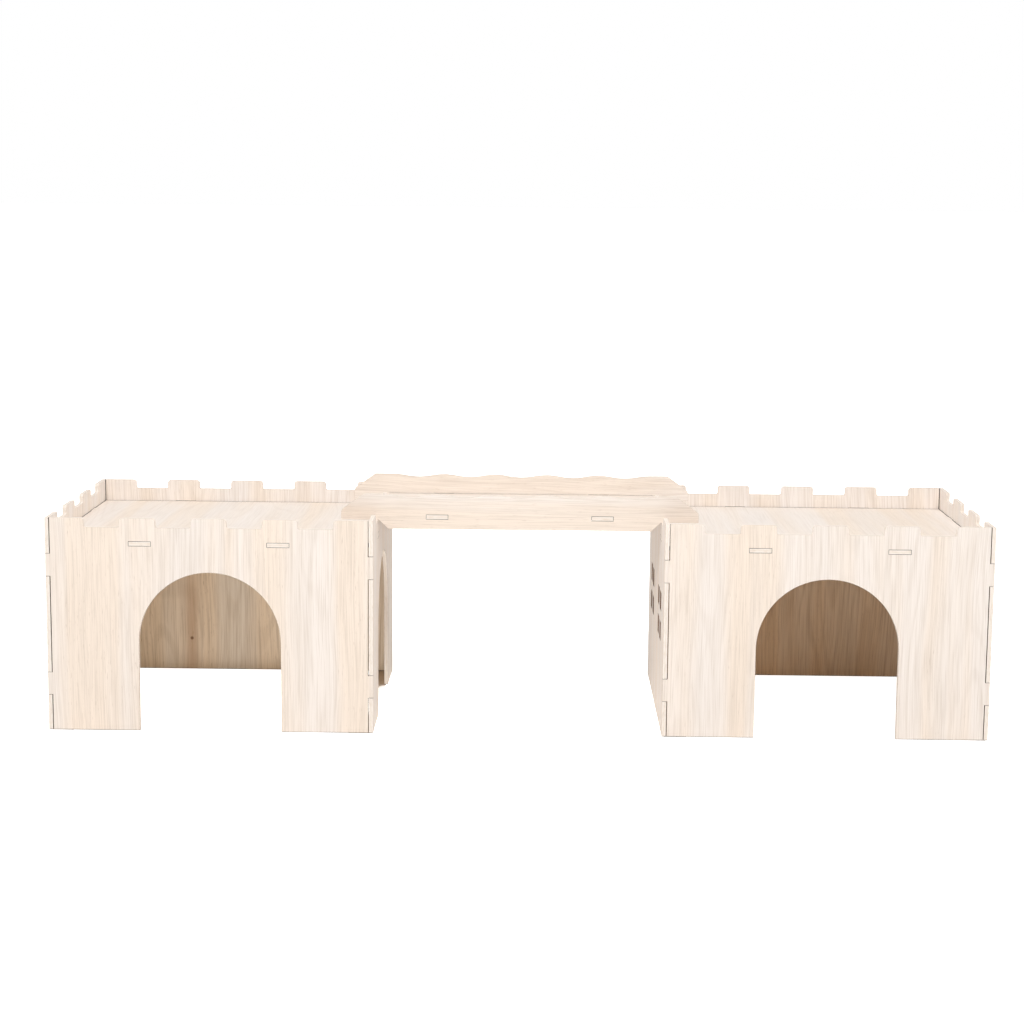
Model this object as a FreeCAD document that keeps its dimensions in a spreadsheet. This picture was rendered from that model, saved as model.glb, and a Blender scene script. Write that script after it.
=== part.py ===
import FreeCAD, Part
import math
import os
from types import SimpleNamespace

import Sketcher
from FreeCAD import Vector

# A plywood castle for small pets: two identical slotted houses with battlements,
# and a loose bridge whose rails lie in the crenels of the two facing walls.
#
# Frame: millimetres, +Z up, +X along the castle from the left house to the right
# one, fronts facing -Y. The origin is on the ground, in the middle of the castle.

# Driving sizes in millimetres: name, value, meaning.
SIZES = (
    ("board_thickness", 3.0, "plywood sheet that every piece is cut from"),
    ("edge_gap", 0.5, "a board's edge to the face of the board that it meets"),
    ("tab_gap", 0.2, "each side of a tab to its slot or notch"),
    ("house_width", 230.0, "outside, over the two side walls"),
    ("house_depth", 200.0, "outside, over the front and back walls"),
    ("house_height", 152.0, "ground to the top of the merlons"),
    ("house_gap", 204.0, "between the facing walls of the two houses"),
    ("parapet_height", 16.5, "roof's upper face to the top of the merlons"),
    ("door_width", 100.0, "arched doorway"),
    ("door_height", 114.0, "ground to the crown of the arch"),
    ("crenel_depth", 6.5, "top of a merlon to the floor of a crenel"),
    ("front_crenel_width", 25.0, "front and back walls"),
    ("front_crenel_pitch", 50.0, "front and back walls, centre to centre"),
    ("side_crenel_width", 28.5, "window and arch walls"),
    ("side_crenel_pitch", 57.0, "window and arch walls, centre to centre"),
    ("merlon_round", 2.0, "radius of a merlon's top corners"),
    ("crenel_round", 1.5, "radius at the foot of a merlon"),
    ("corner_tab_length", 16.0, "tabs of the front and back walls, upright"),
    ("corner_tab_inset", 33.5, "tab's middle from the wall's upper or lower edge"),
    ("roof_tab_length", 15.5, "tabs along the roof's edges"),
    ("front_roof_tab_pitch", 97.0, "two tabs in the front or back wall"),
    ("side_roof_tab_pitch", 97.0, "two tabs in a side wall"),
    ("pane_width", 15.0, "one of a window's four panes"),
    ("pane_height", 13.5, "one of a window's four panes"),
    ("window_bar", 8.0, "cross bars between the panes"),
    ("window_sill", 61.5, "ground to the lower edge of the windows"),
    ("window_pitch", 94.0, "between the middles of the two windows"),
    ("rail_spacing", 110.0, "between the middles of the two rails"),
    ("bridge_setback", 4.5, "how far behind the houses' middle the bridge lies"),
    ("rail_overhang", 23.5, "rail's end past the inner face of a side wall"),
    ("rail_rise", 18.6, "crenel floor to the crests of a rail"),
    ("rail_end_run", 16.0, "cut-off upper corner, along the rail"),
    ("rail_end_drop", 11.5, "cut-off upper corner, upright"),
    ("rail_corner_round", 4.0, "radius below the cut-off corner"),
    ("rail_shoulder_round", 2.0, "radius above the cut-off corner"),
    ("skirt_drop", 6.5, "lower part between the houses, below the crenel floor"),
    ("skirt_slope", 7.0, "sloped end of the lower part, along the rail"),
    ("skirt_clearance", 0.5, "lower part to each facing wall"),
    ("wave_pitch", 39.5, "crest to crest"),
    ("wave_depth", 2.0, "crest to trough"),
    ("wave_margin", 2.0, "least straight edge beyond the last crest"),
    ("deck_rise", 0.8, "crenel floor to the deck's underside"),
    ("deck_clearance", 0.5, "deck's end to each facing wall"),
    ("deck_tab_length", 15.5, "tabs along the deck's long edges"),
    ("deck_tab_pitch", 119.0, "two tabs in each rail"),
)

FRONT_CRENELS = 4
SIDE_CRENELS = 3
OVERCUT = 5.0  # how far a cutting outline runs out past the edge it opens
LEAST_CUT = 1.0  # cubic millimetres that every pocket must take away
NEAR = 1e-3  # how close an edge has to lie to its place to be picked


class Size:
    """A length that keeps both its present value and the expression behind it."""

    def __init__(self, value, text):
        self.value = value
        self.text = text

    def __add__(self, other):
        return Size(self.value + number(other), f"({self.text} + {written(other)})")

    def __sub__(self, other):
        return Size(self.value - number(other), f"({self.text} - {written(other)})")

    def __mul__(self, other):
        return Size(self.value * number(other), f"({self.text} * {written(other)})")

    def __truediv__(self, other):
        return Size(self.value / number(other), f"({self.text} / {written(other)})")

    def __neg__(self):
        return self * -1

    __rmul__ = __mul__


def number(thing):
    """Present value of a size or a plain number."""
    return thing.value if isinstance(thing, Size) else float(thing)


def written(thing):
    """Expression of a size or a plain number."""
    return thing.text if isinstance(thing, Size) else f"({thing})"


# ---------------------------------------------------------------- document helpers

def write_sheet(doc):
    """Put the driving sizes in a sheet and hand them back by name."""
    sheet = doc.addObject("Spreadsheet::Sheet", "Sizes")
    for row, (alias, value, meaning) in enumerate(SIZES, start=1):
        sheet.set(f"A{row}", meaning)
        sheet.set(f"B{row}", str(value))
        sheet.setAlias(f"B{row}", alias)
    doc.recompute()
    return SimpleNamespace(**{alias: Size(float(getattr(sheet, alias)), f"Sizes.{alias}")
                              for alias, _, _ in SIZES})


def new_body(doc, label):
    """Start one plywood piece."""
    body = doc.addObject("PartDesign::Body", label)
    body.Label = label
    return body


def place(body, x, y, z):
    """Tie a piece's position to sizes; a plain zero leaves that axis alone."""
    for axis, distance in (("x", x), ("y", y), ("z", z)):
        if isinstance(distance, Size):
            body.setExpression(f"Placement.Base.{axis}", distance.text)


def new_sketch(body, name, role):
    """Attach an empty sketch to one of the body's own origin planes."""
    plane = next(item for item in body.Origin.OriginFeatures if item.Role == role)
    sketch = body.newObject("Sketcher::SketchObject", f"{body.Name}_{name}_sketch")
    sketch.AttachmentSupport = [(plane, "")]
    sketch.MapMode = "FlatFace"
    return sketch


def arc_between(start, end, radius, turn):
    """Short arc from start to end; turn is 1 for a left-hand bend, -1 for a right-hand one."""
    chord = end - start
    rise = math.sqrt(max(radius ** 2 - chord.Length ** 2 / 4, 0))
    left = Vector(-chord.y, chord.x, 0).normalize()
    centre = (start + end) / 2 + left * rise * turn
    first, last = (start, end) if turn > 0 else (end, start)
    first_angle = math.atan2(first.y - centre.y, first.x - centre.x)
    last_angle = math.atan2(last.y - centre.y, last.x - centre.x)
    if last_angle < first_angle:
        last_angle += 2 * math.pi
    circle = Part.Circle(centre, Vector(0, 0, 1), radius)
    return Part.ArcOfCircle(circle, first_angle, last_angle)


def add_outline(sketch, corners, bends=None):
    """Add a closed outline through (across, up) corners and pin it to the sizes.

    A bend makes the side that leaves a corner an arc: corner number to (radius, turn).
    """
    bends = bends or {}
    count = len(corners)
    first = sketch.GeometryCount
    points = [Vector(number(across), number(up), 0) for across, up in corners]
    ends = []
    for k in range(count):
        start, end = points[k], points[(k + 1) % count]
        radius, turn = bends.get(k, (None, 1))
        if radius is None:
            sketch.addGeometry(Part.LineSegment(start, end), False)
        else:
            sketch.addGeometry(arc_between(start, end, radius.value, turn), False)
        # An arc always runs anticlockwise, so a right-hand bend starts at its second end.
        ends.append((1, 2) if turn > 0 else (2, 1))

    constraints = []
    texts = {}

    def dimension(kind, elements, size):
        texts[sketch.ConstraintCount + len(constraints)] = written(size)
        constraints.append(Sketcher.Constraint(kind, *elements, number(size)))

    for k, (across, up) in enumerate(corners):
        following = (k + 1) % count
        constraints.append(Sketcher.Constraint(
            "Coincident", first + k, ends[k][1], first + following, ends[following][0]))
        dimension("DistanceX", (-1, 1, first + k, ends[k][0]), across)
        dimension("DistanceY", (-1, 1, first + k, ends[k][0]), up)
        if k in bends:
            dimension("Radius", (first + k,), bends[k][0])
    sketch.addConstraint(constraints)
    for index, text in texts.items():
        sketch.setExpression(f"Constraints[{index}]", text)


def add_rectangle(sketch, middle, width, bottom, height):
    """Add a rectangle from its middle line, width, lower edge and height."""
    left = middle - width / 2
    right = middle + width / 2
    top = bottom + height
    add_outline(sketch, ((left, bottom), (right, bottom), (right, top), (left, top)))


def pad(body, name, sketch):
    """Raise a sketch to the thickness of the board, along the sketch's normal."""
    feature = body.newObject("PartDesign::Pad", f"{body.Name}_{name}")
    feature.Profile = sketch
    feature.setExpression("Length", "Sizes.board_thickness")


def cut_through(body, name, sketch):
    """Cut a sketch through the board that was raised from the same plane."""
    feature = body.newObject("PartDesign::Pocket", f"{body.Name}_{name}")
    feature.Profile = sketch
    feature.Reversed = True
    feature.setExpression("Length", "Sizes.board_thickness")


# ---------------------------------------------------------------- cuts of the walls

def cut_crenels(size, body, plane, count, width, pitch):
    """Cut the row of crenels, rounded at the merlons' tops and feet."""
    sketch = new_sketch(body, "crenels", plane)
    top = size.house_height
    floor = top - size.crenel_depth
    brow = size.merlon_round
    foot = size.crenel_round
    for k in range(count):
        middle = (k - (count - 1) / 2) * pitch
        left = middle - width / 2
        right = middle + width / 2
        corners = (
            (left - brow, top), (left, top - brow),
            (left, floor + foot), (left + foot, floor),
            (right - foot, floor), (right, floor + foot),
            (right, top - brow), (right + brow, top),
            (right + brow, top + OVERCUT), (left - brow, top + OVERCUT))
        add_outline(sketch, corners, {0: (brow, -1), 2: (foot, 1), 4: (foot, 1), 6: (brow, -1)})
    cut_through(body, "crenels", sketch)


def cut_doorway(size, body, plane):
    """Cut the round-headed doorway in the middle of the wall."""
    sketch = new_sketch(body, "doorway", plane)
    half = size.door_width / 2
    spring = size.door_height - half
    below = -OVERCUT
    corners = ((half, below), (half, spring), (0 * half, size.door_height),
               (-half, spring), (-half, below))
    add_outline(sketch, corners, {1: (half, 1), 2: (half, 1)})
    cut_through(body, "doorway", sketch)


def add_roof_slots(size, sketch, pitch):
    """Draw the two slots that the roof's tabs pass through."""
    for side in (-1, 1):
        add_rectangle(sketch, side * pitch / 2, size.roof_tab_length + 2 * size.tab_gap,
                      roof_underside(size) - size.tab_gap,
                      size.board_thickness + 2 * size.tab_gap)


def cut_windows(size, body, plane):
    """Cut two windows of two by two panes, with a cross bar left standing."""
    sketch = new_sketch(body, "windows", plane)
    for window in (-1, 1):
        for column in (-1, 1):
            middle = window * size.window_pitch / 2
            middle += column * (size.pane_width + size.window_bar) / 2
            for row in (0, 1):
                sill = size.window_sill + row * (size.pane_height + size.window_bar)
                add_rectangle(sketch, middle, size.pane_width, sill, size.pane_height)
    cut_through(body, "windows", sketch)


# ---------------------------------------------------------------- pieces of a house

def panel_width(size):
    """Clear width between the side walls, less the gaps."""
    return size.house_width - 2 * size.board_thickness - 2 * size.edge_gap


def panel_depth(size):
    """Clear depth between the front and back walls, less the gaps."""
    return size.house_depth - 2 * size.board_thickness - 2 * size.edge_gap


def roof_underside(size):
    """Height of the roof's lower face."""
    return size.house_height - size.parapet_height - size.board_thickness


def corner_tab_bottoms(size):
    """Lower edges of the lower and the upper corner tabs."""
    lower = size.corner_tab_inset - size.corner_tab_length / 2
    upper = size.house_height - size.corner_tab_inset - size.corner_tab_length / 2
    return lower, upper


def front_or_back_wall(doc, size, label, house_x, back):
    """Wall between the side walls, with tabs that reach their outer faces."""
    body = new_body(doc, label)
    plane = "XZ_Plane"
    width = panel_width(size)
    zero = 0 * width
    sketch = new_sketch(body, "panel", plane)
    add_rectangle(sketch, zero, width, zero, size.house_height)
    pad(body, "panel", sketch)

    sketch = new_sketch(body, "tabs", plane)
    reach = (size.house_width - width) / 2
    for side in (-1, 1):
        for bottom in corner_tab_bottoms(size):
            add_rectangle(sketch, side * (width + reach) / 2, reach,
                          bottom, size.corner_tab_length)
    pad(body, "tabs", sketch)

    sketch = new_sketch(body, "slots", plane)
    add_roof_slots(size, sketch, size.front_roof_tab_pitch)
    cut_through(body, "slots", sketch)
    if not back:
        cut_doorway(size, body, plane)
    cut_crenels(size, body, plane, FRONT_CRENELS,
                size.front_crenel_width, size.front_crenel_pitch)
    # The board grows from its placement towards the front.
    back_face = size.house_depth / 2
    place(body, house_x, back_face if back else size.board_thickness - back_face, 0)
    return body


def side_wall(doc, size, label, house_x, arch):
    """Full-depth wall with open notches for the corner tabs of two walls."""
    body = new_body(doc, label)
    plane = "YZ_Plane"
    zero = 0 * size.house_depth
    sketch = new_sketch(body, "panel", plane)
    add_rectangle(sketch, zero, size.house_depth, zero, size.house_height)
    pad(body, "panel", sketch)

    sketch = new_sketch(body, "joints", plane)
    reach = size.board_thickness + size.tab_gap
    for side in (-1, 1):
        for bottom in corner_tab_bottoms(size):
            add_rectangle(sketch, side * (size.house_depth - reach) / 2, reach,
                          bottom - size.tab_gap,
                          size.corner_tab_length + 2 * size.tab_gap)
    add_roof_slots(size, sketch, size.side_roof_tab_pitch)
    cut_through(body, "joints", sketch)
    if arch:
        cut_doorway(size, body, plane)
    else:
        cut_windows(size, body, plane)
    cut_crenels(size, body, plane, SIDE_CRENELS,
                size.side_crenel_width, size.side_crenel_pitch)
    # The board grows from its placement towards the right.
    half = size.house_width / 2
    place(body, house_x + half - size.board_thickness if arch else house_x - half, 0, 0)
    return body


def roof(doc, size, label, house_x):
    """Flat panel inside the four walls, with two tabs out of each edge."""
    body = new_body(doc, label)
    width = panel_width(size)
    depth = panel_depth(size)
    sketch = new_sketch(body, "panel", "XY_Plane")
    add_rectangle(sketch, 0 * width, width, -depth / 2, depth)
    pad(body, "panel", sketch)

    sketch = new_sketch(body, "tabs", "XY_Plane")
    side_reach = (size.house_width - width) / 2
    front_reach = (size.house_depth - depth) / 2
    for side in (-1, 1):
        for bottom in (-size.house_depth / 2, depth / 2):
            add_rectangle(sketch, side * size.front_roof_tab_pitch / 2,
                          size.roof_tab_length, bottom, front_reach)
        for edge in (-1, 1):
            along = side * size.side_roof_tab_pitch / 2 - size.roof_tab_length / 2
            add_rectangle(sketch, edge * (width + side_reach) / 2, side_reach,
                          along, size.roof_tab_length)
    pad(body, "tabs", sketch)
    place(body, house_x, 0, roof_underside(size))
    return body


def house(doc, size, side, house_x):
    """The five pieces of one house; both houses are cut alike."""
    return [
        front_or_back_wall(doc, size, f"{side}_front_wall", house_x, back=False),
        front_or_back_wall(doc, size, f"{side}_back_wall", house_x, back=True),
        side_wall(doc, size, f"{side}_window_wall", house_x, arch=False),
        side_wall(doc, size, f"{side}_arch_wall", house_x, arch=True),
        roof(doc, size, f"{side}_roof", house_x),
    ]


# ---------------------------------------------------------------- pieces of the bridge

def crenel_floor(size):
    """Height of the crenel floors, where the rails lie."""
    return size.house_height - size.crenel_depth


def rail_half(size):
    """Half the length of a rail."""
    return size.house_gap / 2 + size.board_thickness + size.rail_overhang


def cut_wave(size, body, plane):
    """Cut the upper edge into as many whole waves as fit, of smoothly joined arcs."""
    shoulder = rail_half(size) - size.rail_end_run
    waves = int(2 * (shoulder - size.wave_margin).value // size.wave_pitch.value)
    quarter = size.wave_pitch / 4
    radius = quarter * quarter / size.wave_depth + size.wave_depth / 4
    crest = size.rail_rise
    halfway = crest - size.wave_depth / 2

    # The arcs meet a quarter wave beside every trough; the outer crests are half arcs.
    stops = range(1 - 2 * waves, 2 * waves, 2)
    reach = 2 * waves * quarter
    corners = [(-reach, crest)]
    corners += [(stop * quarter, halfway) for stop in stops]
    corners += [(reach, crest), (reach, crest + OVERCUT), (-reach, crest + OVERCUT)]
    bends = {k: (radius, -1 if k % 2 == 0 else 1) for k in range(2 * waves + 1)}
    sketch = new_sketch(body, "wave", plane)
    add_outline(sketch, corners, bends)
    cut_through(body, "wave", sketch)


def rail(doc, size, label, row_y):
    """Wavy rail: a beam over the two facing walls and a skirt between them."""
    body = new_body(doc, label)
    plane = "XZ_Plane"
    end = rail_half(size)
    shoulder = end - size.rail_end_run
    elbow = size.rail_rise - size.rail_end_drop
    zero = 0 * end
    sketch = new_sketch(body, "beam", plane)
    add_outline(sketch, (
        (-end, zero), (end, zero), (end, elbow), (shoulder, size.rail_rise),
        (-shoulder, size.rail_rise), (-end, elbow)))
    pad(body, "beam", sketch)

    hip = size.house_gap / 2 - size.skirt_clearance
    hem = hip - size.skirt_slope
    sketch = new_sketch(body, "skirt", plane)
    add_outline(sketch, (
        (-hem, -size.skirt_drop), (hem, -size.skirt_drop), (hip, zero), (-hip, zero)))
    pad(body, "skirt", sketch)

    sketch = new_sketch(body, "slots", plane)
    for side in (-1, 1):
        add_rectangle(sketch, side * size.deck_tab_pitch / 2,
                      size.deck_tab_length + 2 * size.tab_gap,
                      size.deck_rise - size.tab_gap,
                      size.board_thickness + 2 * size.tab_gap)
    cut_through(body, "slots", sketch)
    cut_wave(size, body, plane)
    place(body, 0, row_y + size.board_thickness / 2, crenel_floor(size))
    return body


def round_ends(doc, bodies, name, radius, distance, height):
    """Fillet the edges that run through the rails at one distance and height."""
    doc.recompute()
    for body in bodies:
        tip = body.Tip
        names = []
        for number_in_shape, edge in enumerate(tip.Shape.Edges, start=1):
            middle = edge.CenterOfMass
            if (abs(abs(middle.x) - distance.value) < NEAR
                    and abs(middle.z - height.value) < NEAR
                    and edge.BoundBox.YLength > edge.Length - NEAR):
                names.append(f"Edge{number_in_shape}")
        feature = body.newObject("PartDesign::Fillet", f"{body.Name}_{name}")
        feature.Base = (tip, names)
        feature.setExpression("Radius", radius.text)


def deck(doc, size, label):
    """Walkway between the rails, with two tabs through each rail."""
    body = new_body(doc, label)
    length = size.house_gap - 2 * size.deck_clearance
    width = size.rail_spacing - size.board_thickness - 2 * size.edge_gap
    overall = size.rail_spacing + size.board_thickness
    sketch = new_sketch(body, "panel", "XY_Plane")
    add_rectangle(sketch, 0 * length, length, -width / 2, width)
    pad(body, "panel", sketch)

    sketch = new_sketch(body, "tabs", "XY_Plane")
    reach = (overall - width) / 2
    for side in (-1, 1):
        for bottom in (-overall / 2, width / 2):
            add_rectangle(sketch, side * size.deck_tab_pitch / 2, size.deck_tab_length,
                          bottom, reach)
    pad(body, "tabs", sketch)
    place(body, 0, size.bridge_setback, crenel_floor(size) + size.deck_rise)
    return body


def bridge(doc, size):
    """The two rails and the deck between them."""
    half = size.rail_spacing / 2
    rails = [
        rail(doc, size, "bridge_front_rail", size.bridge_setback - half),
        rail(doc, size, "bridge_back_rail", size.bridge_setback + half),
    ]
    end = rail_half(size)
    round_ends(doc, rails, "corners", size.rail_corner_round,
               end, size.rail_rise - size.rail_end_drop)
    round_ends(doc, rails, "shoulders", size.rail_shoulder_round,
               end - size.rail_end_run, size.rail_rise)
    return rails + [deck(doc, size, "bridge_deck")]


# ---------------------------------------------------------------- build and write

def check(doc, pieces):
    """Stop before anything is written if a feature or a piece has failed."""
    for item in doc.Objects:
        if "Invalid" in item.State or "Error" in item.State:
            raise RuntimeError(f"{item.Name} failed: {item.State}")
        if item.TypeId == "PartDesign::Pocket":
            if item.Shape.Volume > item.BaseFeature.Shape.Volume - LEAST_CUT:
                raise RuntimeError(f"{item.Name} cuts nothing")
    for piece in pieces:
        shape = piece.Shape
        if shape.isNull() or not shape.isValid() or len(shape.Solids) != 1:
            raise RuntimeError(f"{piece.Label} isn't one valid solid")


def main():
    doc = FreeCAD.newDocument("castle")
    size = write_sheet(doc)
    house_x = (size.house_gap + size.house_width) / 2
    pieces = house(doc, size, "left", -house_x)
    pieces += house(doc, size, "right", house_x)
    pieces += bridge(doc, size)
    doc.recompute()
    check(doc, pieces)
    os.makedirs("parts", exist_ok=True)
    for piece in pieces:
        piece.Shape.exportStep(f"parts/{piece.Label}.step")
        box = piece.Shape.BoundBox
        print(f"{piece.Label}: volume {piece.Shape.Volume:.1f} mm3,"
              f" x {box.XMin:.2f}..{box.XMax:.2f},"
              f" y {box.YMin:.2f}..{box.YMax:.2f}, z {box.ZMin:.2f}..{box.ZMax:.2f}")


main()
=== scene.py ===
import math

import bpy
from mathutils import Matrix, Vector


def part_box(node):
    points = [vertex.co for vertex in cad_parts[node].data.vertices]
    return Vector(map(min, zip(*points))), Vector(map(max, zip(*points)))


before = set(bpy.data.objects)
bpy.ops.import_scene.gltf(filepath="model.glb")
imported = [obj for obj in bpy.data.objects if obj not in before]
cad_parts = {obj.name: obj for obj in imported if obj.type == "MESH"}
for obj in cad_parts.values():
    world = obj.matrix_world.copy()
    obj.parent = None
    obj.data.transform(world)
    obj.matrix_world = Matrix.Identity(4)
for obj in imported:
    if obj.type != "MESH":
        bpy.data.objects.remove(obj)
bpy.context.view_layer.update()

# A plywood castle for small pets. Metres, +Z up, fronts facing -Y, ground at z = 0.
# Every piece is a carried-over CAD node: this script gives each its veneers, its cut
# plies, the softened line along its cuts with scorch and painted shade, the soot and
# painted shade in its joints, painted shade inside the houses and a painted contact
# shadow along the walls' lower edges, and sets up the studio.

BOARD_THICKNESS = 0.003
WELD_REACH = 0.00001  # the CAD meshes have a corner of their own for each face
FLAT_ANGLE = 0.01  # radians; triangles of one flat side join, those of a curve stay
EDGE_BREAK = 0.00009  # width of the softened line that the laser leaves along a cut
SHARP_ANGLE = math.radians(30)

# How squarely a face looks the way that its board does: less than CUT_SLANT on a cut and
# on the softened line along it, and more than BREAK_SLANT on that line only.
CUT_SLANT = 0.85
BREAK_SLANT = 0.5

EDGE_REACH = 0.0006  # how far the soot and painted shade reach from the board that an edge meets
TAB_REACH = 0.0003  # and how far it reaches from a tab
JOINT_COVER = 0.00005  # how deep below the outside it starts
WINDOW_RIM = 0.012  # less than the distance of a window from the outline of its wall
DOOR_RIM = 0.030  # and of a doorway, apart from the lower edge
FOOT_SHADOW = 0.0006  # height of the painted contact shadow along a wall's lower edge
FOOT_SHADOW_SHARE = 0.8

# Camera: place, aim in radians, and lens and sensor in millimetres.
CAMERA_PLACE = Vector((0.0125, -1.5632, 0.3821))
CAMERA_YAW = 0.012
CAMERA_PITCH = -0.151
CAMERA_ROLL = 0.009
CAMERA_LENS = 74.75
SENSOR = 36.0

# Linear colours of the two veneers and of the plies seen at a cut.
OUTER = {"light": (0.835, 0.755, 0.690), "warm": (0.832, 0.713, 0.605),
         "cool": (0.800, 0.728, 0.670), "streak": (0.54, 0.44, 0.35),
         "pore": (0.42, 0.31, 0.22)}
INNER = {"light": (0.878, 0.812, 0.762), "warm": (0.873, 0.776, 0.685),
         "cool": (0.838, 0.786, 0.745), "streak": (0.56, 0.46, 0.37),
         "pore": (0.43, 0.31, 0.22)}
PLY_FACE = (0.84, 0.76, 0.69)
PLY_CORE = (0.80, 0.71, 0.62)
PLY_TAN = (0.70, 0.58, 0.47)
# The softened line along a cut: the laser's scorch, with painted shade for the narrow gaps
# where boards meet.
SCORCH_AND_SHADE = (0.46, 0.34, 0.24)
SCORCH_AND_SHADE_PALE = (0.70, 0.59, 0.49)
# Painted shade on the cut faces inside the windows.
WINDOW_REVEAL_SHADE = (0.20, 0.115, 0.07)
# A much darker softened line round a doorway.
DOOR_EDGE_DARK = (0.10, 0.065, 0.045)
# Soot in the joints with painted shade there; also the painted contact shadow along the
# walls' lower edges.
SOOT_AND_SHADE = (0.020, 0.013, 0.009)
SOOT_AND_SHADE_PALE = (0.07, 0.045, 0.03)

# Noise layers of a veneer: how much of each there is in a metre along and across the
# grain, its own layer of the noise, detail and roughness.
LAYERS = {
    "sway": (4.0, 8.0, 0.0, 2.0, 0.5),
    "bands": (1.6, 42.0, 1.0, 2.0, 0.5),
    "tint": (2.2, 26.0, 7.0, 1.0, 0.5),
    "rings": (3.4, 30.0, 19.0, 1.0, 0.5),
    "streaks": (11.0, 420.0, 3.0, 2.0, 0.5),
    "fine": (26.0, 1250.0, 5.0, 2.0, 0.6),
    "pores": (150.0, 2300.0, 11.0, 1.0, 0.5),
}
INNER_LAYER = 40.0  # keeps the two veneers of a board apart
SWAY = 0.017  # how far the grain wanders sideways
RING_COUNT = 75.0
TINT_SHARE = 0.70
RING_SHARE = 0.10
STREAK_SHARE = 0.13
FINE_SHARE = 0.40
PORE_SHARE = 0.45

# How lively the figure is: outside by board, round a middle value, and inside.
FIGURE_MIDDLE = 0.75
FIGURE_SWING = 0.35
FIGURE_PACE = 1.7
INNER_FIGURE = 1.5

# How strongly the streaks show, by the way that a board faces and its grain runs.
GRAIN_STRENGTH = {"XZ": 1.0, "YZ": 1.0, "ZY": 0.45, "YX": 0.95, "ZX": 0.6}

MOTTLE_RUN = 260.0  # mottling of the cuts, per metre along them
MOTTLE_PLIES = 2.5  # and through the board
MOTTLE_SHARE = 0.7
PATCH_RUN = 70.0  # patches of the soot, scorch and painted shade, per metre

WOOD_ROUGHNESS = 0.54
ROUGHNESS_SWING = 0.12
BUMP_STRENGTH = 0.4
BUMP_DEPTH = 0.00006
SPECULAR = 0.5

# Knots on inner faces: the board, and the knot's place across and along the grain.
KNOTS = {"left_back_wall": (-0.262, 0.025)}
KNOT = (0.16, 0.075, 0.035)
KNOT_EDGE = 0.0018  # radius where it begins
KNOT_CORE = 0.0007  # and where it is full
KNOT_SHARE = 0.85

# Darker wood that runs up and down from a knot: half its width there, how much that
# grows with the distance, and how far it reaches.
HEART = (0.46, 0.27, 0.15)
HEART_WIDTH = 0.0075
HEART_SPREAD = 0.07
HEART_REACH = 0.10
HEART_SHARE = 0.60

# Painted shade: inside a house, below its roof, the veneer is made darker and browner,
# the right house's more so, and its grain stands out more.
DEN_SHADE_CONTRAST = 1.65
DEN_SHADE_TINT = {"left": (1.03, 1.03, 0.965), "right": (1.045, 0.93, 0.755)}
DEN_TOP = 0.1355

# Studio: how bright the light tent is towards each side.
TENT = {"X-": 1.42, "X+": 1.42, "Y-": 0.0, "Y+": 0.51, "Z+": 0.0}

# The table, and the field under each house that is lit from below: its strength, and how
# far it lies off the house along X.
TABLE_PALE = (0.96, 0.96, 0.96)
TABLE_WHITE = (0.98, 0.98, 0.98)
TABLE_ROUGHNESS = 0.9
TABLE_REACH = 40.0
TABLE_DROP = 0.0002  # keeps the table clear of the walls' lower edges
GLOW = {"left": (0.74, 0.022), "right": (0.22, -0.105)}
GLOW_COLOUR = (1.0, 0.985, 0.96)
GLOW_BLEND = 0.03  # width of a field's soft rim
TABLE_LIFT = 0.95  # what the camera sees of the table beyond its own light

# What the camera sees of the table close inside a house's side walls: its colour there,
# how far that reaches from a wall's middle, and how open a point may be to the sides
# and upwards, within a distance, to count as out of the shade and as deep in it.
TABLE_SHADE = (0.46, 0.37, 0.29)
SHADE_WIDTH = 0.016
SHADE_DISTANCE = 0.25
SHADE_OPEN = 0.36
SHADE_DEEP = 0.26
SHADE_SAMPLES = 16

# Softboxes as place, aim, size and watts.
SOFTBOXES = (
    ((-0.45, -1.10, 1.50), (0.0, 0.0, 0.05), 1.0, 15.4),
    ((0.45, -1.10, 1.55), (0.0, 0.0, 0.05), 1.0, 15.2),
    ((0.0, 0.90, 1.50), (0.0, 0.0, 0.12), 1.0, 5.5),
)

# Which way each kind of board faces, and which way its grain runs.
BOARDS = {"front_wall": ("Y", "Z"), "back_wall": ("Y", "Z"), "window_wall": ("X", "Z"),
          "arch_wall": ("X", "Z"), "roof": ("Z", "Y"), "front_rail": ("Y", "X"),
          "back_rail": ("Y", "X"), "deck": ("Z", "X")}

# Each board's wood starts from a seed of its own.
SEED_START = 3.1
SEED_STEP = 5.3


# ---------------------------------------------------------------- shader helpers

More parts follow.
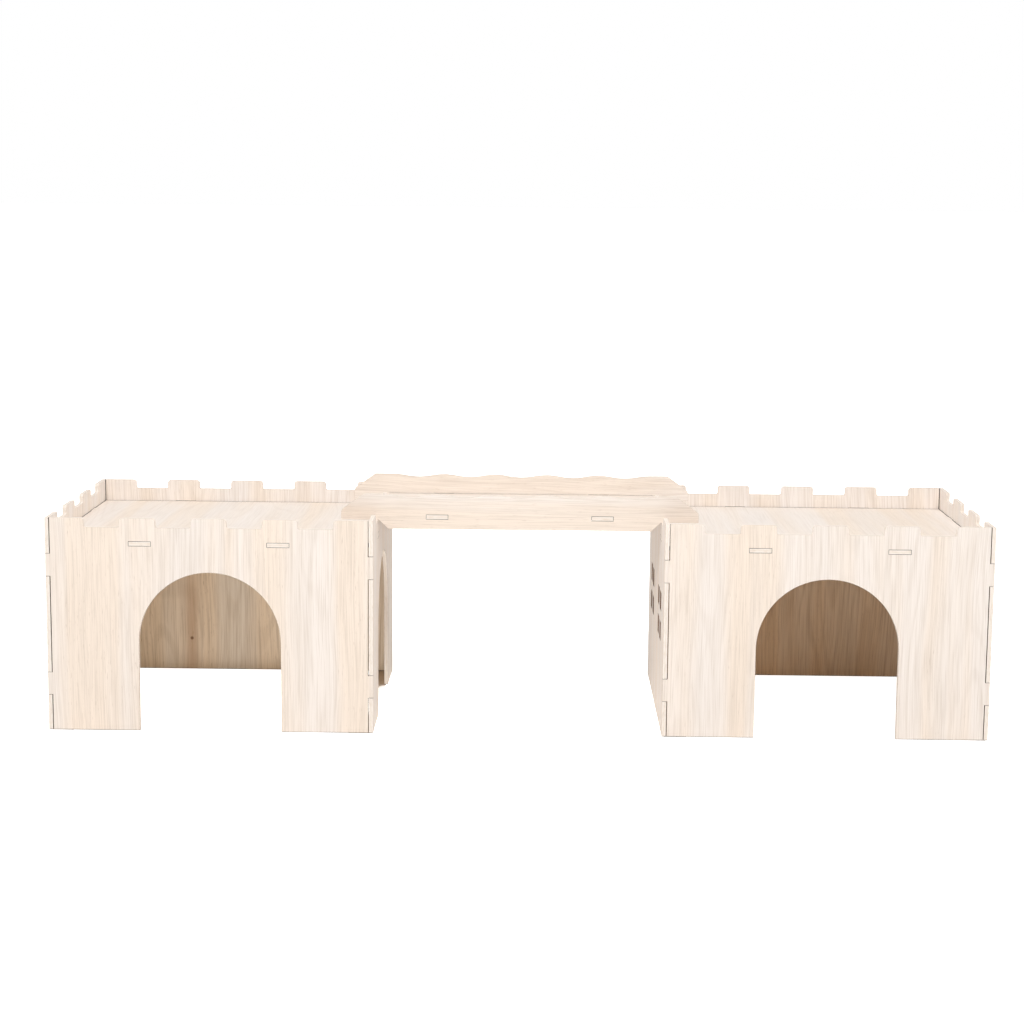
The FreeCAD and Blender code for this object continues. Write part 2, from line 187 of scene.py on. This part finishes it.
class Graph:
    """Short-hand for the node tree of a new material or world."""

    def __init__(self, owner):
        owner.use_nodes = True
        self.owner = owner
        self.tree = owner.node_tree
        self.tree.nodes.clear()

    def node(self, kind, **settings):
        """New node with its settings."""
        made = self.tree.nodes.new(kind)
        for key, value in settings.items():
            setattr(made, key, value)
        return made

    def feed(self, socket, value):
        """Link a socket to another one, or set its plain value."""
        if isinstance(value, bpy.types.NodeSocket):
            self.tree.links.new(value, socket)
        else:
            socket.default_value = value

    def math(self, operation, first, second=0.0):
        """One step of arithmetic on sockets or plain numbers."""
        made = self.node("ShaderNodeMath", operation=operation)
        self.feed(made.inputs[0], first)
        self.feed(made.inputs[1], second)
        return made.outputs[0]

    def split(self, vector):
        """Sockets of a vector's three parts, by axis letter."""
        made = self.node("ShaderNodeSeparateXYZ")
        self.feed(made.inputs[0], vector)
        return dict(zip("XYZ", made.outputs))

    def noise(self, x, y, seed, detail=2.0, roughness=0.5):
        """Noise over two stretched coordinates, in a layer of its own."""
        place = self.node("ShaderNodeCombineXYZ")
        for socket, value in zip(place.inputs, (x, y, seed)):
            self.feed(socket, value)
        made = self.node("ShaderNodeTexNoise")
        self.feed(made.inputs["Vector"], place.outputs[0])
        made.inputs["Scale"].default_value = 1.0
        made.inputs["Detail"].default_value = detail
        made.inputs["Roughness"].default_value = roughness
        return made.outputs["Fac"]

    def ramp(self, value, low, high, top=1.0):
        """Smooth step from 0 at low to top at high."""
        made = self.node("ShaderNodeMapRange", interpolation_type="SMOOTHSTEP")
        for key, item in (("Value", value), ("From Min", low), ("From Max", high),
                          ("To Min", 0.0), ("To Max", top)):
            self.feed(made.inputs[key], item)
        return made.outputs["Result"]

    def inside(self, place, low, high, slack_axis=None, slack=0.0):
        """1 where a position, given by its three sockets, lies in a box, otherwise 0.

        The box may be longer by some slack at both ends of one axis.
        """
        held = 1.0
        for axis, start, end in zip("XYZ", low, high):
            off = self.math("ABSOLUTE", self.math("SUBTRACT", place[axis], (start + end) / 2))
            reach = (end - start) / 2
            if axis == slack_axis:
                reach = self.math("ADD", slack, reach)
            held = self.math("MULTIPLY", self.math("LESS_THAN", off, reach), held)
        return held

    def mix(self, share, first, second, blend="MIX"):
        """Blend of two colours, by the share of the second."""
        made = self.node("ShaderNodeMix", data_type="RGBA", blend_type=blend)
        self.feed(made.inputs["Factor"], share)
        for key, item in (("A", first), ("B", second)):
            socket = next(s for s in made.inputs if s.name == key and s.type == "RGBA")
            self.feed(socket, (*item, 1.0) if isinstance(item, tuple) else item)
        return next(s for s in made.outputs if s.type == "RGBA")

    def finish(self, colour, roughness, height=None):
        """Wire up a wood or table shader and hand it back."""
        shader = self.node("ShaderNodeBsdfPrincipled")
        self.feed(shader.inputs["Base Color"], colour)
        self.feed(shader.inputs["Roughness"], roughness)
        shader.inputs["Specular IOR Level"].default_value = SPECULAR
        if height is not None:
            bump = self.node("ShaderNodeBump")
            bump.inputs["Strength"].default_value = BUMP_STRENGTH
            bump.inputs["Distance"].default_value = BUMP_DEPTH
            self.feed(bump.inputs["Height"], height)
            self.feed(shader.inputs["Normal"], bump.outputs["Normal"])
        self.feed(self.node("ShaderNodeOutputMaterial").inputs["Surface"], shader.outputs[0])
        return shader


# ---------------------------------------------------------------- wood

def veneer(graph, along, across, seed, palette, figure, grain_strength=1.0):
    """Sliced veneer: broad bands, growth-ring figure, fine streaks and short pores.

    figure scales the sway of the grain and the rings, grain_strength the streaks.
    Returns the colour and a height for the bump.
    """
    def stretched(layer_name, sideways):
        """One of the noise layers, along the grain and over a sideways coordinate."""
        run, width, layer, detail, roughness = LAYERS[layer_name]
        return graph.noise(graph.math("MULTIPLY", along, run),
                           graph.math("MULTIPLY", sideways, width),
                           seed + layer, detail, roughness)

    sway = graph.math("SUBTRACT", stretched("sway", across), 0.5)
    bent = graph.math("ADD", across, graph.math("MULTIPLY", sway, SWAY * figure))

    bands = stretched("bands", bent)
    tint = stretched("tint", bent)
    rings = graph.math("SINE", graph.math("MULTIPLY", stretched("rings", bent), RING_COUNT))
    streaks = stretched("streaks", bent)
    fine = stretched("fine", bent)
    pores = stretched("pores", bent)

    ring_lines = graph.ramp(rings, 0.25, 1.0, RING_SHARE * figure)
    colour = graph.mix(graph.ramp(bands, 0.36, 0.66), palette["light"], palette["warm"])
    colour = graph.mix(graph.ramp(tint, 0.48, 0.70, TINT_SHARE), colour, palette["cool"])
    colour = graph.mix(ring_lines, colour, palette["streak"])
    for share, lines in ((STREAK_SHARE, graph.ramp(streaks, 0.45, 0.70)),
                         (FINE_SHARE, graph.ramp(fine, 0.42, 0.74))):
        lines = graph.math("MULTIPLY", lines, share * grain_strength)
        colour = graph.mix(lines, colour, palette["streak"])
    dots = graph.math("MULTIPLY", graph.ramp(pores, 0.66, 0.78),
                      graph.ramp(bands, 0.42, 0.60))
    colour = graph.mix(graph.math("MULTIPLY", dots, PORE_SHARE), colour, palette["pore"])
    return colour, graph.math("SUBTRACT", fine, dots)


def cut_plies(graph, along, across, through, seed):
    """Three plies seen end-on, mottled tan by the laser; through runs 0 to 1.

    Returns the colour and the mottling, which is also the height for the bump.
    """
    from_middle = graph.math("ABSOLUTE", graph.math("SUBTRACT", through, 0.5))
    colour = graph.mix(graph.ramp(from_middle, 0.12, 0.20), PLY_CORE, PLY_FACE)
    run = graph.math("MULTIPLY", graph.math("ADD", along, across), MOTTLE_RUN)
    mottle = graph.noise(run, graph.math("MULTIPLY", through, MOTTLE_PLIES), seed, 3.0, 0.6)
    return graph.mix(graph.ramp(mottle, 0.42, 0.78, MOTTLE_SHARE), colour, PLY_TAN), mottle


def patchy(graph, place, dark, pale):
    """Two browns in soft patches of about a centimetre."""
    run = graph.math("MULTIPLY", graph.math("ADD", place["X"], place["Z"]), PATCH_RUN)
    patches = graph.noise(run, graph.math("MULTIPLY", place["Y"], PATCH_RUN), 4.0, 3.0, 0.6)
    return graph.mix(graph.ramp(patches, 0.36, 0.66), dark, pale)


def knotted(graph, across, along, colour, knot_across, knot_along):
    """A small knot, with darker wood running out of it along the grain."""
    off = graph.math("ABSOLUTE", graph.math("SUBTRACT", across, knot_across))
    run = graph.math("ABSOLUTE", graph.math("SUBTRACT", along, knot_along))
    width = graph.math("ADD", graph.math("MULTIPLY", run, HEART_SPREAD), HEART_WIDTH)
    heart = graph.math("MULTIPLY", graph.ramp(graph.math("DIVIDE", off, width), 1.0, 0.0),
                       graph.ramp(run, HEART_REACH, 0.0, HEART_SHARE))
    colour = graph.mix(heart, colour, HEART)
    reach = graph.math("SQRT", graph.math("ADD", graph.math("POWER", off, 2.0),
                                          graph.math("POWER", run, 2.0)))
    return graph.mix(graph.ramp(reach, KNOT_EDGE, KNOT_CORE, KNOT_SHARE), colour, KNOT)


def den_shaded_wood(graph, place, colour, tint):
    """The inner veneer, with painted shade where the roof covers it: darker, browner and with
    more contrast.
    """
    shaded_colour = graph.node("ShaderNodeGamma")
    graph.feed(shaded_colour.inputs["Color"], colour)
    shaded_colour.inputs["Gamma"].default_value = DEN_SHADE_CONTRAST
    tinted = graph.mix(1.0, shaded_colour.outputs[0], tint, "MULTIPLY")
    covered = graph.math("LESS_THAN", place["Z"], DEN_TOP)
    return graph.mix(covered, colour, tinted)


def in_joint(graph, place, is_cut, name):
    """1 on the faces that lie in a joint with another board of the same whole.

    A cut face may lie a little off the other board, because the joints have play.
    """
    met = 0.0
    for other in fellows(name):
        facing = facing_of(other)
        if facing == facing_of(name):
            continue
        reach = graph.math("MULTIPLY", is_cut, TAB_REACH if facing == "Z" else EDGE_REACH)
        met = graph.math("MAXIMUM", graph.inside(place, *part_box(other), facing, reach), met)
    low, high = whole_box(name)
    cover = Vector([JOINT_COVER] * 3)
    return graph.math("MULTIPLY", met, graph.inside(place, low + cover, high - cover))


def board_wood(name, grain, seed):
    """Wood of one board: a veneer on each face, cut plies between, soot and painted shade in
    the joints.
    """
    facing = facing_of(name)
    inner_way, middle = inner_side(name)
    graph = Graph(bpy.data.materials.new(f"wood_{name}"))
    coordinates = graph.node("ShaderNodeTexCoord")
    place = graph.split(coordinates.outputs["Object"])
    normal = graph.split(coordinates.outputs["Normal"])[facing]
    along = place[grain]
    across = place[next(axis for axis in "XYZ" if axis not in (facing, grain))]
    through = graph.math("DIVIDE", graph.math("SUBTRACT", place[facing], middle),
                         BOARD_THICKNESS)
    through = graph.math("ADD", through, 0.5)

    figure = FIGURE_MIDDLE + FIGURE_SWING * math.sin(seed * FIGURE_PACE)
    strength = GRAIN_STRENGTH[facing + grain]
    outer, outer_height = veneer(graph, along, across, seed, OUTER, figure, strength)
    inner, inner_height = veneer(graph, along, across, seed + INNER_LAYER, INNER,
                                 INNER_FIGURE, strength)
    whole = name.split("_")[0]
    # Painted shade inside the house, below its roof.
    if whole in DEN_SHADE_TINT:
        inner = den_shaded_wood(graph, place, inner, DEN_SHADE_TINT[whole])
    if name in KNOTS:
        inner = knotted(graph, across, along, inner, *KNOTS[name])
    edge, edge_height = cut_plies(graph, along, across, through, seed)

    slant = graph.math("ABSOLUTE", normal)
    looks_in = graph.math("GREATER_THAN", graph.math("MULTIPLY", normal, inner_way), 0.5)
    is_cut = graph.math("LESS_THAN", slant, CUT_SLANT)
    is_break = graph.math("MULTIPLY", graph.math("GREATER_THAN", slant, BREAK_SLANT), is_cut)
    colour = graph.mix(is_cut, graph.mix(looks_in, outer, inner), edge)
    # The softened line along a cut: scorch with painted shade.
    colour = graph.mix(is_break, colour, patchy(graph, place, SCORCH_AND_SHADE, SCORCH_AND_SHADE_PALE))
    # Painted shade on the cut faces inside the windows.
    if name.endswith("window_wall"):
        in_window = within(graph, place, name, WINDOW_RIM, WINDOW_RIM)
        colour = graph.mix(graph.math("MULTIPLY", in_window, is_cut), colour, WINDOW_REVEAL_SHADE)
    # A much darker softened line round a doorway.
    if name.endswith(("front_wall", "arch_wall")):
        at_door = within(graph, place, name, DOOR_RIM, 0.0)
        colour = graph.mix(graph.math("MULTIPLY", at_door, is_break), colour, DOOR_EDGE_DARK)
    # Soot and painted shade in the joints.
    soot_and_shade = patchy(graph, place, SOOT_AND_SHADE, SOOT_AND_SHADE_PALE)
    colour = graph.mix(in_joint(graph, place, is_cut, name), colour, soot_and_shade)
    # Painted contact shadow along the lower edge of an upright board.
    if grain == "Z":
        foot_shadow = graph.ramp(place["Z"], FOOT_SHADOW, FOOT_SHADOW / 3, FOOT_SHADOW_SHARE)
        colour = graph.mix(foot_shadow, colour, soot_and_shade)
    height = graph.math("ADD", outer_height, graph.math("MULTIPLY", inner_height, looks_in))
    height = graph.math("ADD", height, graph.math("MULTIPLY", edge_height, is_cut))
    unevenness = graph.math("MULTIPLY", outer_height, ROUGHNESS_SWING)
    roughness = graph.math("ADD", unevenness, WOOD_ROUGHNESS)
    graph.finish(colour, roughness, height)
    return graph.owner


def within(graph, place, name, margin, foot_margin):
    """1 where a wall lies at least a margin inside its outline.

    The lower edge has a margin of its own.
    """
    low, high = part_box(name)
    rim = Vector([margin] * 3)
    rim["XYZ".index(facing_of(name))] = -BOARD_THICKNESS
    start = low + rim
    start.z = low.z + foot_margin
    return graph.inside(place, start, high - rim)


def facing_of(name):
    """Axis that a board faces along."""
    return BOARDS[name.split("_", 1)[1]][0]


def fellows(name):
    """Boards of the same house or bridge, this one included."""
    return [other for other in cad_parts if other.startswith(name.split("_")[0])]


def whole_box(name):
    """Corners of the house or bridge that a board belongs to."""
    lows, highs = zip(*(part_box(other) for other in fellows(name)))
    return Vector(map(min, zip(*lows))), Vector(map(max, zip(*highs)))


def inner_side(name):
    """Which way a board's inner face looks (+1.0 or -1.0), and the board's middle plane."""
    axis = "XYZ".index(facing_of(name))
    middle = sum(corner[axis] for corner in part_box(name)) / 2
    whole_middle = sum(corner[axis] for corner in whole_box(name)) / 2
    if facing_of(name) == "Z":
        return -1.0, middle  # roofs and the deck look down inwards
    return (1.0 if middle < whole_middle else -1.0), middle


def dress(name, seed):
    """Give one CAD node its wood, and a softened line along every cut.

    The line keeps its full width only on whole flat sides, so those are joined first.
    """
    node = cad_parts[name]
    wood = board_wood(name, BOARDS[name.split("_", 1)[1]][1], seed)
    for slot in node.material_slots:
        slot.material = wood
    weld = node.modifiers.new("joined_corners", "WELD")
    weld.merge_threshold = WELD_REACH
    flats = node.modifiers.new("joined_flats", "DECIMATE")
    flats.decimate_type = "DISSOLVE"
    flats.angle_limit = FLAT_ANGLE
    bevel = node.modifiers.new("edge_break", "BEVEL")
    bevel.width = EDGE_BREAK
    bevel.segments = 1
    bevel.limit_method = "ANGLE"
    bevel.angle_limit = SHARP_ANGLE


# ---------------------------------------------------------------- studio

def corner_shade(graph, place):
    """1 on the table close inside a house's side walls, where walls and roof cover it."""
    strip = 0.0
    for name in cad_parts:
        if name.endswith(("window_wall", "arch_wall")):
            inner_way, middle = inner_side(name)
            low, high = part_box(name)
            low.x, high.x = sorted((middle, middle + inner_way * SHADE_WIDTH))
            low.z = -high.z
            strip = graph.math("MAXIMUM", graph.inside(place, low, high), strip)
    cover = graph.node("ShaderNodeAmbientOcclusion", samples=SHADE_SAMPLES)
    cover.inputs["Distance"].default_value = SHADE_DISTANCE
    covered = graph.ramp(cover.outputs["AO"], SHADE_OPEN, SHADE_DEEP)
    return graph.math("MULTIPLY", strip, covered)


def add_table():
    """White matt table, lit a little from below under the houses."""
    graph = Graph(bpy.data.materials.new("studio_table"))
    place = graph.split(graph.node("ShaderNodeTexCoord").outputs["Object"])
    cloud = graph.noise(place["X"], place["Y"], 1.0)
    colour = graph.mix(cloud, TABLE_PALE, TABLE_WHITE)
    seen = graph.node("ShaderNodeLightPath").outputs["Is Camera Ray"]
    shade = graph.math("MULTIPLY", corner_shade(graph, place), seen)
    shader = graph.finish(graph.mix(shade, colour, TABLE_SHADE), TABLE_ROUGHNESS)
    glow = 0.0
    for house, (field, shift) in GLOW.items():
        low, high = whole_box(house + "_roof")
        middle = (low + high) / 2 + Vector((shift, 0.0, 0.0))
        half = (high - low) / 2
        for axis, centre, rim in (("X", middle.x, half.x), ("Y", middle.y, half.y)):
            off = graph.math("ABSOLUTE", graph.math("SUBTRACT", place[axis], centre))
            field = graph.math("MULTIPLY", graph.ramp(off, rim, rim - GLOW_BLEND), field)
        glow = graph.math("ADD", field, glow)
    glow = graph.math("ADD", glow, graph.math("MULTIPLY", seen, TABLE_LIFT))
    glow = graph.math("MULTIPLY", glow, graph.math("SUBTRACT", 1.0, shade))
    graph.feed(shader.inputs["Emission Strength"], glow)
    shader.inputs["Emission Color"].default_value = (*GLOW_COLOUR, 1.0)

    mesh = bpy.data.meshes.new("table")
    corners = [(x * TABLE_REACH, y * TABLE_REACH, 0)
               for x, y in ((-1, -1), (1, -1), (1, 1), (-1, 1))]
    mesh.from_pydata(corners, [], [(0, 1, 2, 3)])
    mesh.materials.append(graph.owner)
    table = bpy.data.objects.new("table", mesh)
    table.location.z = -TABLE_DROP
    bpy.context.scene.collection.objects.link(table)


def add_tent():
    """Light tent: white to look at, with a brightness of its own towards each side."""
    world = bpy.data.worlds.new("light_tent")
    graph = Graph(world)
    way = graph.split(graph.node("ShaderNodeTexCoord").outputs["Generated"])
    light = 0.0
    for side, strength in TENT.items():
        towards = graph.math("MULTIPLY", way[side[0]], float(side[1] + "1"))
        lobe = graph.math("POWER", graph.math("MAXIMUM", towards, 0.0), 2.0)
        light = graph.math("ADD", graph.math("MULTIPLY", lobe, strength), light)
    seen = graph.node("ShaderNodeLightPath").outputs["Is Camera Ray"]
    light = graph.math("MAXIMUM", light, seen)
    background = graph.node("ShaderNodeBackground")
    background.inputs["Color"].default_value = (1.0, 1.0, 1.0, 1.0)
    graph.feed(background.inputs["Strength"], light)
    graph.feed(graph.node("ShaderNodeOutputWorld").inputs["Surface"], background.outputs[0])
    bpy.context.scene.world = world


def add_softbox(name, place, target, size, power):
    """Square area light aimed at a point."""
    light = bpy.data.lights.new(name, "AREA")
    light.shape = "SQUARE"
    light.size = size
    light.energy = power
    lamp = bpy.data.objects.new(name, light)
    lamp.location = place
    lamp.rotation_mode = "QUATERNION"
    lamp.rotation_quaternion = (Vector(target) - Vector(place)).to_track_quat("-Z", "Y")
    bpy.context.scene.collection.objects.link(lamp)


def add_camera():
    """Camera with its yaw, pitch and roll written out as three axes."""
    forward = Vector((-math.sin(CAMERA_YAW) * math.cos(CAMERA_PITCH),
                      math.cos(CAMERA_YAW) * math.cos(CAMERA_PITCH),
                      math.sin(CAMERA_PITCH)))
    level = Vector((math.cos(CAMERA_YAW), math.sin(CAMERA_YAW), 0.0))
    rise = level.cross(forward)
    right = level * math.cos(CAMERA_ROLL) + rise * math.sin(CAMERA_ROLL)
    up = rise * math.cos(CAMERA_ROLL) - level * math.sin(CAMERA_ROLL)
    turn = Matrix((right, up, -forward)).transposed()
    data = bpy.data.cameras.new("camera")
    data.sensor_width = SENSOR
    data.lens = CAMERA_LENS
    camera = bpy.data.objects.new("camera", data)
    camera.matrix_world = Matrix.Translation(CAMERA_PLACE) @ turn.to_4x4()
    bpy.context.scene.collection.objects.link(camera)
    bpy.context.scene.camera = camera


# ---------------------------------------------------------------- assembly

add_camera()
add_tent()
add_table()
for number, softbox in enumerate(SOFTBOXES):
    add_softbox(f"softbox_{number}", *softbox)
for number, name in enumerate(sorted(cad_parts)):
    dress(name, SEED_START + SEED_STEP * number)
bpy.context.scene.view_settings.view_transform = "Standard"
